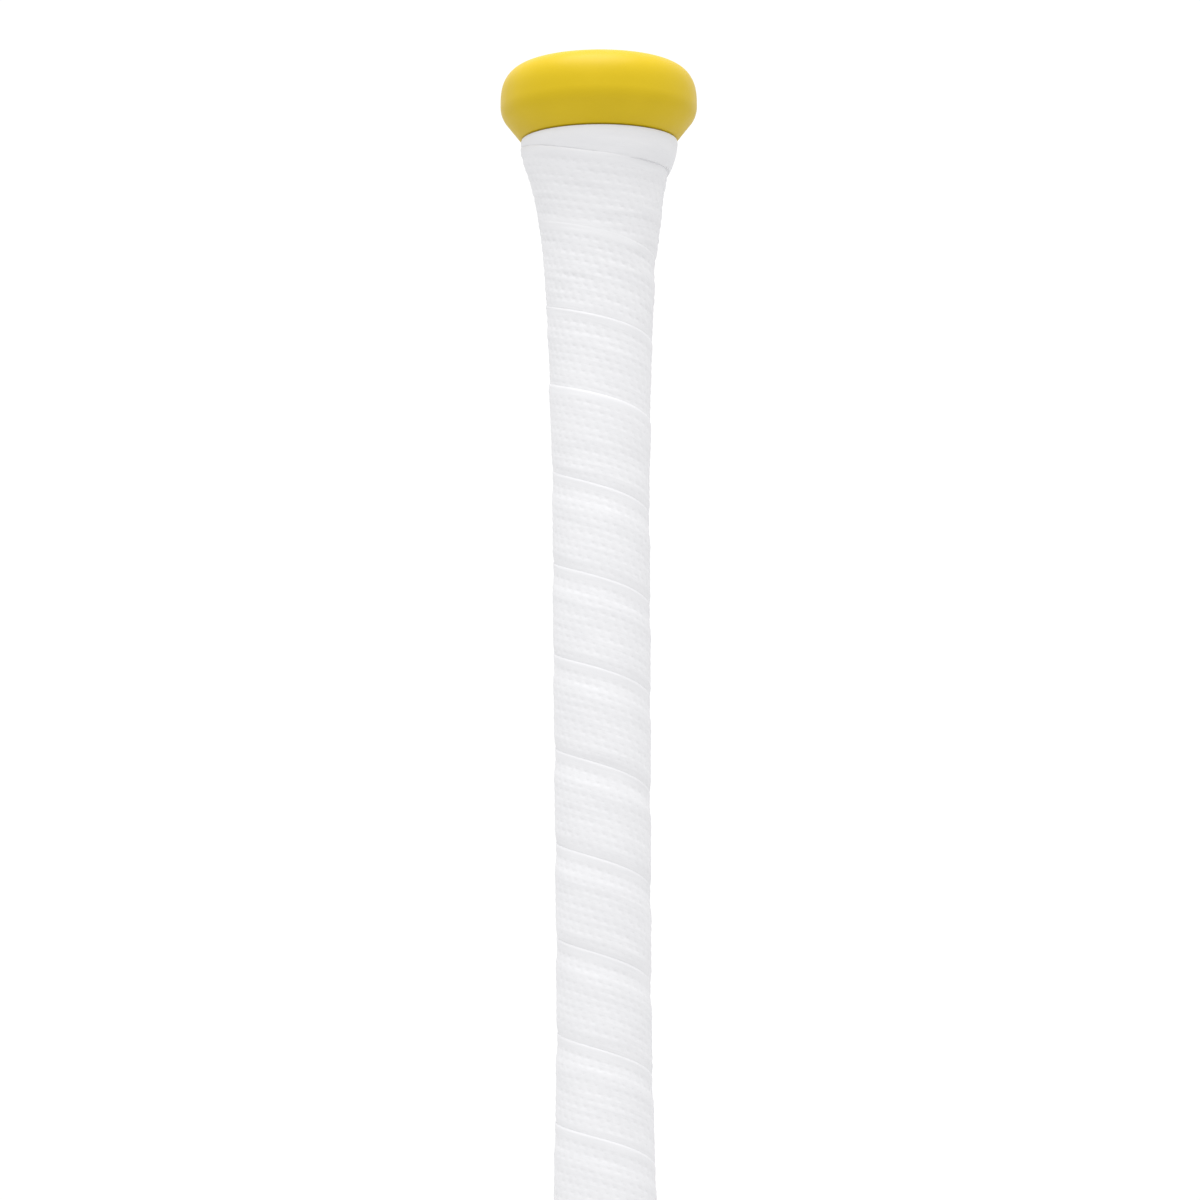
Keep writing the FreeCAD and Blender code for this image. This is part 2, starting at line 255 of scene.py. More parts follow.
def orange_peel(tree, shader):
    """The sprayed finish under a clear coat: a very fine ripple, and a slightly uneven gloss."""
    peel = textured(tree, "ShaderNodeTexNoise", Scale=420, Detail=2)
    bumped(tree, shader, peel.outputs["Fac"], 0.02 * MM)
    haze = textured(tree, "ShaderNodeTexNoise", Scale=35, Detail=3)
    shaded_between(tree, haze.outputs["Fac"], shader.inputs["Roughness"], grey(0.24), grey(0.34))
    shader.inputs["Coat Weight"].default_value = 0.7
    shader.inputs["Coat Roughness"].default_value = 0.06


def inward(rings, distance):
    """The same rings in the reverse order, with their radii smaller."""
    return [(radius - distance, height) for radius, height in reversed(rings)]


tube_outside = [cone_bottom, cone_top]
tube_outside += bowed(cone_top, waist, -waist_bow, waist_steps)[1:]
tube_outside += [waist, (tube_radius, straight_bottom), (tube_radius, tube_high.z)]
tube_rings = tube_outside + inward(tube_outside, tube_wall)
handle_tube = turned("painted_handle_tube", tube_rings, tube=True)
gloss_white, tree, shader = paint_named("gloss_white_paint")
mottled(tree, shader, (0.70, 0.70, 0.71, 1), (0.72, 0.72, 0.73, 1), scale=25)
orange_peel(tree, shader)
finished(handle_tube, gloss_white)
in_place_of(handle_tube, "handle_tube")

# --------------------------------------------------------------------------------------------------
# Foam plug: a bung of closed-cell foam in the tube's lower mouth. It keeps dust and bonding resin
# out of the handle, and it is pushed in before the two halves are joined.
# --------------------------------------------------------------------------------------------------


def refinished(node, material):
    """Give a CAD piece that stays a better material."""
    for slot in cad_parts[node].material_slots:
        slot.material = material


foam, tree, shader = paint_named("closed_cell_foam", roughness=0.9)
mottled(tree, shader, (0.55, 0.52, 0.42, 1), (0.70, 0.67, 0.56, 1), scale=300)
cells = textured(tree, "ShaderNodeTexVoronoi", Scale=900)
bumped(tree, shader, cells.outputs["Distance"], 0.3 * MM)
refinished("handle_foam_plug", foam)

# --------------------------------------------------------------------------------------------------
# Knob: yellow moulded polyurethane, poured round the end of the handle tube. Its underside is a
# straight cone that rolls over a tight corner into upright sides, and the crown is a flat-topped
# dome with a shallow recess for the badge.
# --------------------------------------------------------------------------------------------------
knob_low, knob_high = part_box("knob")
knob_radius = knob_high.x
knob_base = knob_low.z
knob_neck = 20.4 * MM
neck_edge = [(-1.3 * MM, 0), (-0.5 * MM, 0.3 * MM), (0, 0.45 * MM)]
roll_start = -36.1
roll_steps = 8
roll_radius = 6.4 * MM
roll_height = 8.97 * MM
crown_flat = 12.3 * MM
crown_start = 9.15 * MM
crown_fullness = 2.87
crown_steps = 24
badge_recess = 1.0 * MM
badge_radius = 9.5 * MM
recess_edge = 0.3 * MM


def swept(across, up, radius, first, last, steps):
    """Rings (radius, height) on an arc about a centre, between two angles in degrees."""
    angles = [math.radians(first + (last - first) * step / steps) for step in range(steps + 1)]
    return [(across + radius * math.cos(angle), up + radius * math.sin(angle)) for angle in angles]


roll_across, roll_up = knob_radius - roll_radius, knob_base + roll_height
knob_rings = [(tube_radius, tube_high.z), (tube_radius, knob_base)]
knob_rings += [(knob_neck + out, knob_base + up) for out, up in neck_edge]
knob_rings += swept(roll_across, roll_up, roll_radius, roll_start, 0, roll_steps)
for step in range(crown_steps + 1):
    angle = math.radians(90 * step / crown_steps)
    out = math.cos(angle) ** (2 / crown_fullness)
    up = math.sin(angle) ** (2 / crown_fullness)
    knob_rings.append((
        crown_flat + (knob_radius - crown_flat) * max(out, 0),
        knob_base + crown_start + (knob_high.z - knob_base - crown_start) * up,
    ))
knob_rings += [
    (badge_radius + recess_edge, knob_high.z),
    (badge_radius, knob_high.z - recess_edge),
    (badge_radius, knob_high.z - badge_recess),
]
knob = turned("moulded_knob", knob_rings, sides=160)
yellow_urethane, tree, shader = paint_named("yellow_urethane")
mottled(tree, shader, (0.545, 0.385, 0.004, 1), (0.575, 0.408, 0.006, 1), scale=60)
mottle = textured(tree, "ShaderNodeTexNoise", Scale=220, Detail=4)
shaded_between(tree, mottle.outputs["Fac"], shader.inputs["Roughness"], grey(0.36), grey(0.46))
skin = textured(tree, "ShaderNodeTexNoise", Scale=1800, Detail=2)
bumped(tree, shader, skin.outputs["Fac"], 0.008 * MM)
shader.inputs["Specular IOR Level"].default_value = 0.2
finished(knob, yellow_urethane)
in_place_of(knob, "knob")

# --------------------------------------------------------------------------------------------------
# Knob plug and balancing slug: a moulded nylon bung in the tube's upper mouth, with a plated steel
# slug in it that sets the bat's balance. The knob is poured over both.
# --------------------------------------------------------------------------------------------------
plug_nylon, tree, shader = paint_named("plug_nylon", roughness=0.5)
mottled(tree, shader, grey(0.045), grey(0.07), scale=400)
refinished("knob_plug", plug_nylon)
plated_steel, tree, shader = paint_named("plated_steel", roughness=0.35, metallic=1)
mottled(tree, shader, (0.55, 0.56, 0.58, 1), (0.66, 0.67, 0.68, 1), scale=500)
lathe_lines = textured(tree, "ShaderNodeTexNoise", stretch=(1, 1, 60), Scale=90, Detail=2)
bumped(tree, shader, lathe_lines.outputs["Fac"], 0.02 * MM)
refinished("knob_weight", plated_steel)

# --------------------------------------------------------------------------------------------------
# Badge: a blank charcoal disc with a clear domed face, pressed into the shallow recess in the
# knob's end after the knob is moulded.
# --------------------------------------------------------------------------------------------------
badge_low, badge_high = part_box("knob_badge")
badge_thickness = badge_high.z - badge_low.z
badge_edge = badge_radius - 0.05 * MM
badge_bevel = 0.1 * MM
badge_side = 0.35
badge_rings = [(badge_edge - badge_bevel, badge_low.z), (badge_edge, badge_low.z + badge_bevel)]
badge_rings += [(badge_edge, badge_low.z + badge_side * badge_thickness)]
for degrees in range(10, 90, 10):
    dome = badge_side + (1 - badge_side) * math.sin(math.radians(degrees))
    dome_radius = badge_edge * math.cos(math.radians(degrees))
    badge_rings.append((dome_radius, badge_low.z + badge_thickness * dome))
badge = turned("knob_badge_disc", badge_rings, sides=96)
domed_badge, tree, shader = paint_named("domed_badge", roughness=0.35)
mottled(tree, shader, (0.035, 0.036, 0.04, 1), (0.05, 0.051, 0.055, 1), scale=700)
shader.inputs["Coat Weight"].default_value = 1.0
shader.inputs["Coat Roughness"].default_value = 0.04
finished(badge, domed_badge)
in_place_of(badge, "knob_badge")

# --------------------------------------------------------------------------------------------------
# Flare sleeve and adhesive: a black rubber cone that is slid up to the knob and fairs the handle
# into it, and the thin pressure adhesive on the back of the grip.
# --------------------------------------------------------------------------------------------------
black_rubber, tree, shader = paint_named("black_rubber", roughness=0.75)
mottled(tree, shader, grey(0.018), grey(0.03), scale=350)
rubber_skin = textured(tree, "ShaderNodeTexNoise", Scale=1500, Detail=3)
bumped(tree, shader, rubber_skin.outputs["Fac"], 0.03 * MM)
refinished("flare_sleeve", black_rubber)
pressure_adhesive, tree, shader = paint_named("pressure_adhesive", roughness=0.3)
mottled(tree, shader, (0.72, 0.70, 0.62, 1), (0.80, 0.78, 0.72, 1), scale=200)
refinished("grip_adhesive", pressure_adhesive)

# --------------------------------------------------------------------------------------------------
# Grip tape: one strip of cushioned white tape, finely perforated, with its long edges skived thin.
# Its first turn is trimmed narrow and lies level round the knob. From there it is wound down the
# handle, each turn over the lower edge of the turn above.
# --------------------------------------------------------------------------------------------------
hole_pitch = 2.7 * MM
row_pitch = 2.0 * MM
hole_radius = 0.26 * MM
hole_depth = 0.04 * MM
perforated_rows = 12
plain_edge = 2.0 * MM
strip_width = perforated_rows * row_pitch + 2 * plain_edge
strip_thickness = 1.2 * MM
# The long edges are pared down over the skive, and rounded off at the very edge.
edge_thickness = 0.31 * MM
lower_edge_thickness = 0.16 * MM
trimmed_edge_thickness = 0.85 * MM
skive = 8 * MM
edge_round = 0.24 * MM
edge_round_width = 1.0 * MM
thinnest = 0.1 * MM
# Where one turn lies on another, it drapes down to the tube, and the one below is pressed in.
drape = 7 * MM
clearance = 0.02 * MM
pressed_in = 0.03 * MM
valley_depth = 0.06 * MM
valley_width = 0.8 * MM
# Soft ridges between the rows of holes come and go along the strip, and near the knob, where the
# tape is pulled over the flare, it puckers into ripples.
ridge_height = 0.055 * MM
ridge_dash = 17 * MM
ripple_depth = 0.045 * MM
ripple_length = 3.4 * MM
ripple_start = 752 * MM
ripple_rise = 25 * MM
smooth_margin = 1.5 * MM
# Where the upper edge lies below the knob: turns from the front, and the drop in millimetres,
# until the winding settles ...
settling_edge = [
    (-2, 0.1), (-1, 0.1), (-0.4, 0.1), (-0.19, 2.7), (0, 6.9), (0.12, 7.9), (0.25, 8.3),
    (0.5, 12.6), (0.75, 20.4), (1, 26.3),
]
# ... and how much further down each later turn's edge comes to the front. It is wound by hand, so
# it varies.
turn_drops = [
    22.2, 20.3, 23.5, 23.7, 23.5, 24.5, 24.2, 24.2, 24.1, 22.4, 24.0, 23.6, 24.2, 24.0, 24.0,
]
# The trimmed first turn is plain with thick cut edges. Over these turns from the front its edges
# thin to the skived ones, and its holes and ridges fade in.
lower_thinning = [-0.3, 0.0]
upper_thinning = [-0.35, 0.0]
plain_turns = -0.5
plain_fade = 0.12
# How far the first turn reaches under the next one in millimetres, by the turns of the one that
# covers it. What is left of its width is folded into a sliver.
cover_turns = [-0.5, 0.0, 0.1, 0.45, 0.7, 1.0]
first_cover = [0.8, 0.8, 0.0, 0.0, 3.0, 8.0]
trimmed_sliver = 0.01
# The tape is pulled tight over the flare: how thick it may stand there in millimetres, turns from
# the front, at the upper edge and then further down each turn.
tight_turns = [-1.5, -0.9, -0.25, 0.0, 0.12, 0.3, 0.5, 0.75, 1.25, 1.75, 2.0]
tight_at_edge = [1.0, 1.0, 1.15, 1.1, 0.6, 0.6, 0.8, 1.0, 1.35, 1.7, 3.0]
tight_below = [1.0, 1.0, 0.95, 1.1, 1.2, 1.25, 1.1, 1.05, 1.3, 1.7, 3.0]
tight_from = 5 * MM
tight_over = 9 * MM
# Where the second turn meets the first one's edge without lying on it.
butted_turns = [0.0, 0.12, 0.4, 0.6]

# The strip lies on the adhesive, whose radius is felt from outside all the way up.
grip_low, grip_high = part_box("grip_tape")
adhesive_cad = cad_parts["grip_adhesive"]
lay_margin = 0.1 * MM
lay_samples = 700
smoothed_samples = 15
heights = np.linspace(grip_low.z + lay_margin, grip_high.z - lay_margin, lay_samples)
lay = []
for height in heights:
    outside = Vector((50 * MM, 0.2 * MM, height))
    place = adhesive_cad.ray_cast(outside, Vector((-1, 0, 0)))[1]
    lay.append(place.xy.length)
smoothing = np.hanning(smoothed_samples)
lay = np.pad(lay, smoothed_samples // 2, mode="edge")
lay = np.convolve(lay, smoothing / smoothing.sum(), mode="valid")


def lay_radius(height):
    """Radius of the surface that the strip lies on."""
    return np.interp(height, heights, lay)


edge_points = list(settling_edge)
for drop in turn_drops:
    edge_points.append((edge_points[-1][0] + 1, edge_points[-1][1] + drop))
edge_turns, edge_drops = np.array(edge_points).T


def upper_edge(turns):
    """Height of the strip's upper edge, on a smooth line through the points."""
    turns = np.clip(turns, edge_turns[0], edge_turns[-1])
    slopes = np.gradient(edge_drops, edge_turns)
    slopes[:3] = 0
    index = np.searchsorted(edge_turns, turns, side="right") - 1
    index = np.clip(index, 0, len(edge_turns) - 2)
    width = edge_turns[index + 1] - edge_turns[index]
    part = (turns - edge_turns[index]) / width
    drop = (
        (2 * part**3 - 3 * part**2 + 1) * edge_drops[index]
        + (part**3 - 2 * part**2 + part) * width * slopes[index]
        + (3 * part**2 - 2 * part**3) * edge_drops[index + 1]
        + (part**3 - part**2) * width * slopes[index + 1]
    )
    return knob_base - drop * MM


# The line of the winding, in small steps. It runs on past the grip's end, where it is cut level.
run_on = 6 * MM
winding_steps = 4000
start_turn = tight_turns[0]
end_turn = float(np.interp(knob_base - grip_low.z + run_on, edge_drops * MM, edge_turns))
turn_table = np.linspace(start_turn, end_turn, winding_steps)
edge_table = upper_edge(turn_table)
middle_radius = lay_radius(edge_table - strip_width / 2) + strip_thickness
step_angle = 2 * math.pi * (turn_table[1] - turn_table[0])
fall = -np.gradient(edge_table, turn_table) / (2 * math.pi)
slope_table = np.arctan2(fall, middle_radius)
step_lengths = np.hypot(middle_radius, fall)[1:] * step_angle
along_table = np.concatenate(([0], np.cumsum(step_lengths)))
strip_length = along_table[-1]

# The flat strip: one dimpled cell, its staggered neighbour, and arrays of the pair along and
# across. The cell's rim is drawn out from a small circle to the corners and sides of the cell.
columns = int(strip_length / hole_pitch)
cell_joint = 0.02 * MM
bpy.ops.object.select_all(action="DESELECT")
bpy.ops.mesh.primitive_circle_add(vertices=8, radius=hole_radius, fill_type="TRIFAN")
strip = bpy.context.object
strip.name = "wound_grip_tape"
bpy.ops.object.mode_set(mode="EDIT")
cell = bmesh.from_edit_mesh(strip.data)
for vertex in cell.verts:
    if vertex.co.length < hole_radius / 2:
        vertex.co.z = -hole_depth
rim = [edge for edge in cell.edges if edge.is_boundary]
grown = bmesh.ops.extrude_edge_only(cell, edges=rim)


def cell_side(offset, pitch):
    """Half a pitch to the side that the offset points to, or none where it points to neither."""
    return 0 if abs(offset) < hole_radius / 4 else math.copysign(pitch / 2, offset)


for vertex in grown["geom"]:
    if isinstance(vertex, bmesh.types.BMVert):
        vertex.co = (cell_side(vertex.co.x, hole_pitch), cell_side(vertex.co.y, row_pitch), 0)
bmesh.update_edit_mesh(strip.data)
bpy.ops.mesh.select_all(action="SELECT")
bpy.ops.mesh.duplicate_move(TRANSFORM_OT_translate={"value": (hole_pitch / 2, row_pitch, 0)})
bpy.ops.object.mode_set(mode="OBJECT")
row_pairs = perforated_rows // 2
for count, offset in ((columns, (hole_pitch, 0, 0)), (row_pairs, (0, 2 * row_pitch, 0))):
    array = strip.modifiers.new("repeat", "ARRAY")
    array.use_relative_offset = False
    array.use_constant_offset = True
    array.constant_offset_displace = offset
    array.count = count
    bpy.ops.object.modifier_apply(modifier=array.name)
bpy.ops.object.mode_set(mode="EDIT")
bpy.ops.mesh.select_all(action="SELECT")
bpy.ops.mesh.remove_doubles(threshold=cell_joint)
bpy.ops.mesh.select_all(action="DESELECT")
bpy.ops.object.mode_set(mode="OBJECT")


def pick_edges(piece, chosen):
    """Select only the edges whose two ends both pass."""
    bpy.ops.mesh.select_all(action="DESELECT")
    mesh = bmesh.from_edit_mesh(piece.data)
    for edge in mesh.edges:
        edge.select_set(all(chosen(end.co) for end in edge.verts))
    bmesh.update_edit_mesh(piece.data)


def drawn_out(*step):
    """Extrude what is selected by one step."""
    bpy.ops.mesh.extrude_region_move(TRANSFORM_OT_translate={"value": step})


# The plain margins, the edges' thickness and the underside are drawn out from the outer rows.
lowest_row = -row_pitch / 2
highest_row = lowest_row + perforated_rows * row_pitch
margin_steps = [0.8 * MM, 0.5 * MM, 0.3 * MM, 0.2 * MM, 0.14 * MM, 0.06 * MM]
underside_steps = 3
bpy.ops.object.mode_set(mode="EDIT")
for row, direction in ((lowest_row, -1), (highest_row, 1)):
    pick_edges(strip, lambda place: abs(place.y - row) < cell_joint)
    for step in margin_steps:
        drawn_out(0, direction * step, 0)
    drawn_out(0, 0, -strip_thickness)
    for step in range(underside_steps):
        drawn_out(0, -direction * strip_width / underside_steps / 2, 0)
bpy.ops.mesh.select_all(action="SELECT")
bpy.ops.mesh.remove_doubles(threshold=cell_joint / 2)
bpy.ops.mesh.select_all(action="SELECT")
bpy.ops.mesh.fill_holes(sides=0)
bpy.ops.mesh.select_all(action="SELECT")
bpy.ops.mesh.normals_make_consistent(inside=False)
bpy.ops.object.mode_set(mode="OBJECT")

flat = np.zeros(len(strip.data.vertices) * 3, np.float32)
strip.data.vertices.foreach_get("co", flat)
flat_place = strip.data.attributes.new("flat_place", "FLOAT_VECTOR", "POINT")
flat_place.data.foreach_set("vector", flat)
flat = flat.reshape(-1, 3).astype(float)


def eased(part):
    """A soft step from 0 to 1."""
    part = np.clip(part, 0, 1)
    return part * part * (3 - 2 * part)


def tight(turns, below):
    """How thick the tape may stand over the flare, all its layers together."""
    at_edge = np.interp(turns, tight_turns, tight_at_edge)
    lower_down = np.interp(turns, tight_turns, tight_below)
    return (at_edge + (lower_down - at_edge) * eased((below - tight_from) / tight_over)) * MM


def first_width(turns):
    """The trimmed first turn is as wide as it shows plus its cover. Later turns are whole."""
    shown = upper_edge(turns) - upper_edge(turns + 1)
    cover = np.interp(turns + 1, cover_turns, first_cover) * MM
    return np.where(turns < 0, np.minimum(shown + cover, strip_width), strip_width)


def skived(from_edge, edge):
    """Thickness of the strip at a distance from an edge that is pared down."""
    return edge + (strip_thickness - edge) * eased(from_edge / skive)


def valley(below_edge):
    """How far the tape is pressed in along the edge of the turn that covers it."""
    return valley_depth * np.exp(-(((below_edge + 0.8 * valley_width) / valley_width) ** 2))


# The flat strip is laid along the winding: each point has its place along and below the edge.
along = flat[:, 0] - flat[:, 0].min()
below = highest_row + sum(margin_steps) - flat[:, 1]
along_edge_turns = np.interp(along, along_table, turn_table)
slope = np.interp(along, along_table, slope_table)
radius_here = np.interp(along, along_table, middle_radius)
width_here = first_width(along_edge_turns)
trimmed_off = below > width_here
below = np.where(trimmed_off, width_here + trimmed_sliver * (below - width_here), below)
turns = along_edge_turns - below * np.sin(slope) / radius_here / (2 * math.pi)
height = upper_edge(along_edge_turns) - below * np.cos(slope)

# What lies under and over each point: the lower edge of the turn before, and the upper edge of the
# next.
covered_by = (upper_edge(turns + 1) - height) * np.cos(slope)
next_lies_over = turns + 1 > lower_thinning[0]
edge_shift = strip_width * np.sin(slope) / radius_here / (2 * math.pi)
width_before = first_width(turns - 1 + edge_shift)
lower_edge_before = upper_edge(turns - 1 + edge_shift) - width_before * np.cos(slope)
lies_on = (height - lower_edge_before) * np.cos(slope)
turn_before = turns - 1 > start_turn + edge_shift
lower_edges = [trimmed_edge_thickness, lower_edge_thickness]
edge_below = np.interp(turns, lower_thinning, lower_edges)
edge_under = np.interp(turns - 1, lower_thinning, lower_edges)
draped = edge_under * (1 - eased(-lies_on / drape))
under = np.where(lies_on > 0, skived(lies_on, edge_under), draped)
under = np.where(turn_before, under - valley(below), 0)
under *= 1 - np.interp(turns, butted_turns, [0, 1, 1, 0])
below_edge_before = (upper_edge(turns - 1) - height) * np.cos(slope)
under = np.minimum(under, tight(turns - 1, below_edge_before))

# The strip's own thickness there, and its texture.
upper_thickness = np.interp(turns, upper_thinning, [strip_thickness, edge_thickness])
own = np.minimum(skived(below, upper_thickness), skived(width_here - below, edge_below))
own -= np.where(next_lies_over, valley(covered_by), 0)
own -= np.where(next_lies_over & (covered_by > 0), pressed_in, 0)
own = np.maximum(np.minimum(own, tight(turns, below) - under), thinnest)
from_edge = np.clip(np.minimum(below, width_here - below) / edge_round_width, 0, 1)
rounding = np.minimum(edge_round, own - thinnest / 2) * (1 - from_edge) ** 2
level = np.where(flat[:, 2] < -0.9 * strip_thickness, 0, 1)
hidden = eased((covered_by + smooth_margin) / smooth_margin) * next_lies_over
textured_here = (1 - hidden) * eased((turns - plain_turns) / plain_fade)
dimple = np.where((level > 0) & ~trimmed_off, np.minimum(flat[:, 2], 0), 0) * textured_here
puckering = 0.7 + 0.3 * np.sin(turns * 23 + below / MM * 0.4)
puckering *= eased((height - ripple_start) / ripple_rise)
ridge = -ridge_height * (1 + puckering) * np.cos(2 * math.pi * flat[:, 1] / row_pitch)
ridge_line = np.round(flat[:, 1] / row_pitch - 0.5)
ridge_wave = 2 * math.pi * along / ridge_dash + 2.4 * ridge_line
ridge *= eased(from_edge) * (0.8 + 0.45 * np.sin(ridge_wave))
ripple = np.sin(2 * math.pi * below / ripple_length + 1.5 * np.sin(turns * 11))
ripple *= ripple_depth * puckering
top = own - rounding + (ripple + ridge) * textured_here
outward = lay_radius(height) + under + clearance + level * top + dimple
angle = turns * 2 * math.pi
wound = np.stack([outward * np.sin(angle), -outward * np.cos(angle), height], axis=1)
strip.data.vertices.foreach_set("co", wound.astype(np.float32).ravel())
hole = strip.data.attributes.new("hole", "FLOAT", "POINT")
hole.data.foreach_set("value", (-dimple / hole_depth).astype(np.float32))
strip.data.update()

bpy.ops.object.mode_set(mode="EDIT")
bpy.ops.mesh.select_all(action="SELECT")
bpy.ops.mesh.bisect(
    plane_co=(0, 0, grip_low.z + 1 * MM),
    plane_no=(0, 0, 1),
    use_fill=True,
    clear_inner=True,
    threshold=merging_distance,
)
bpy.ops.object.mode_set(mode="OBJECT")

white_tape, tree, shader = paint_named("perforated_white_tape", roughness=0.55)


def attribute_read(tree, name, output):
    """A value stored on the strip's points."""
    reader = tree.nodes.new("ShaderNodeAttribute")
    reader.attribute_name = name
    return reader.outputs[output]


def along_strip(tree, stretch, **settings):
    """A noise that follows the strip as it lay flat."""
    flat_place = attribute_read(tree, "flat_place", "Vector")
    return textured(tree, "ShaderNodeTexNoise", stretch, flat_place, **settings).outputs["Fac"]


pale_tape = (0.692, 0.692, 0.708, 1)
bright_tape = (0.727, 0.727, 0.742, 1)
# Painted shade in the perforations: the tape's tone is mixed a little towards this grey by each
# dimple's depth, so the shallow dimples read darker.
hole_painted_shade = (0.42, 0.42, 0.43, 1)
tape_tone = tree.nodes.new("ShaderNodeMix")
tape_tone.data_type = "RGBA"
tone = along_strip(tree, (0.25, 1, 1), Scale=260, Detail=4)
shaded_between(tree, tone, tape_tone.inputs["A"], pale_tape, bright_tape)
tape_tone.inputs["B"].default_value = hole_painted_shade
hole_shade = tree.nodes.new("ShaderNodeMath")
hole_shade.operation = "MULTIPLY"
hole_shade.inputs[1].default_value = 0.12
tree.links.new(attribute_read(tree, "hole", "Fac"), hole_shade.inputs[0])
tree.links.new(hole_shade.outputs["Value"], tape_tone.inputs["Factor"])
tree.links.new(tape_tone.outputs["Result"], shader.inputs["Base Color"])
gloss = along_strip(tree, (0.3, 1, 1), Scale=500, Detail=3)
shaded_between(tree, gloss, shader.inputs["Roughness"], grey(0.48), grey(0.64))
creases = along_strip(tree, (0.12, 1, 1), Scale=700, Detail=5, Roughness=0.6)
bumped(tree, shader, creases, 0.09 * MM)
shader.inputs["Specular IOR Level"].default_value = 0.35
finished(strip, white_tape, angle=50)
in_place_of(strip, "grip_tape")

# --------------------------------------------------------------------------------------------------
# End band: two turns of matte black vinyl tape, stretched over the grip's cut end and down onto the
# handle, so that the grip doesn't peel.
# --------------------------------------------------------------------------------------------------
band_low, band_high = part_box("grip_end_band")
band_turns = 2.06
band_layer = 0.14 * MM
band_steps = 260
band_rows = 22
band_start = 2.4
creep = 0.7 * MM
step_below_grip = 2.6 * MM
step_width = 2.2 * MM


def cone_radius(height):
    """Radius of the handle's cone."""
    part = (cone_top[1] - height) / (cone_top[1] - cone_bottom[1])
    return cone_top[0] + part * (cone_bottom[0] - cone_top[0])


bpy.ops.object.select_all(action="DESELECT")
bpy.ops.mesh.primitive_grid_add(x_subdivisions=band_steps, y_subdivisions=band_rows, size=1)
band = bpy.context.object
band.name = "vinyl_end_band"
place = np.zeros(len(band.data.vertices) * 3, np.float32)
band.data.vertices.foreach_get("co", place)
place = place.reshape(-1, 3).astype(float)
turns = (place[:, 0] + 0.5) * band_turns
across = place[:, 1] + 0.5
band_width = band_high.z - band_low.z - creep
height = band_low.z + creep * turns / band_turns + band_width * across
grip_step = eased((height - grip_low.z + step_below_grip) / step_width)
stretch_lines = 0.02 * MM * np.sin(height / MM * 4.1 + 2 * np.sin(turns * 5)) * eased(turns)
outward = cone_radius(height) + 0.03 * MM + (strip_thickness + 0.2 * MM) * grip_step
outward += band_layer * (0.5 + np.maximum(turns - 0.02, 0)) + stretch_lines
angle = turns * 2 * math.pi + band_start
wound = np.stack([outward * np.sin(angle), -outward * np.cos(angle), height], axis=1)
band.data.vertices.foreach_set("co", wound.astype(np.float32).ravel())
band.data.update()
thickness = band.modifiers.new("thickness", "SOLIDIFY")
thickness.thickness = band_layer * 0.9
thickness.offset = 0
bpy.context.view_layer.objects.active = band
bpy.ops.object.modifier_apply(modifier=thickness.name)
bpy.ops.object.mode_set(mode="EDIT")
bpy.ops.mesh.select_all(action="SELECT")
bpy.ops.mesh.normals_make_consistent(inside=False)
bpy.ops.object.mode_set(mode="OBJECT")
black_vinyl, tree, shader = paint_named("black_vinyl", roughness=0.6)
mottled(tree, shader, grey(0.02), grey(0.032), scale=180)
embossing = textured(tree, "ShaderNodeTexVoronoi", Scale=1600)
bumped(tree, shader, embossing.outputs["Distance"], 0.03 * MM)
finished(band, black_vinyl, angle=50)
in_place_of(band, "grip_end_band")

# --------------------------------------------------------------------------------------------------
# Joint: a black elastomer sleeve bonded between the handle's cone and the barrel's throat, and the
# moulded charcoal collar with three shallow grooves that hides the joint.
# --------------------------------------------------------------------------------------------------
refinished("joint_sleeve", black_rubber)
collar_low, collar_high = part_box("joint_collar")
collar_height = collar_high.z - collar_low.z
collar_lip = 0.6 * MM
collar_bow = 30 * MM
collar_steps = 160
collar_fit = 0.02 * MM
collar_bevel = 0.2 * MM
groove_heights = (3.6 * MM, 6.4 * MM, 9.2 * MM)
groove_depth = 0.45 * MM
groove_half = 0.5 * MM
collar_bottom = (collar_high.x, collar_low.z)
collar_top = (cone_radius(collar_high.z) + collar_lip, collar_high.z)
collar_sweep = bowed(collar_bottom, collar_top, collar_bow, collar_steps) + [collar_top]
sweep_radii, sweep_heights = np.array(collar_sweep).T


def collar_ring(height, depth=0.0):
    """A ring on the collar's outside, or below it by a depth."""
    return (float(np.interp(height, sweep_heights, sweep_radii)) - depth, height)


collar_rings = [
    (cone_radius(collar_low.z) + collar_fit, collar_low.z),
    (collar_bottom[0] - collar_bevel, collar_low.z),
    collar_ring(collar_low.z + collar_bevel),
]
for groove in groove_heights:
    centre = collar_low.z + groove
    collar_rings.append(collar_ring(centre - groove_half - 0.5 * MM))
    collar_rings.append(collar_ring(centre - groove_half))
    for offset in (-0.85, -0.5, 0, 0.5, 0.85):
        depth = groove_depth * math.sqrt(1 - offset * offset)
        collar_rings.append(collar_ring(centre + groove_half * offset, depth))
    collar_rings.append(collar_ring(centre + groove_half))
for part in (0.66, 0.74, 0.82, 0.9, 0.96):
    collar_rings.append(collar_ring(collar_low.z + part * collar_height))
collar_rings += [
    (collar_top[0] - 0.1 * MM, collar_top[1]),
    (cone_radius(collar_high.z) + collar_fit, collar_high.z),
]
collar = turned("moulded_joint_collar", collar_rings, sides=144, tube=True)
charcoal_moulding, tree, shader = paint_named("charcoal_moulding", roughness=0.5)
mottled(tree, shader, grey(0.03), grey(0.045), scale=120)
spark_texture = textured(tree, "ShaderNodeTexNoise", Scale=2600, Detail=3)
bumped(tree, shader, spark_texture.outputs["Fac"], 0.04 * MM)
finished(collar, charcoal_moulding, angle=35)
in_place_of(collar, "joint_collar")

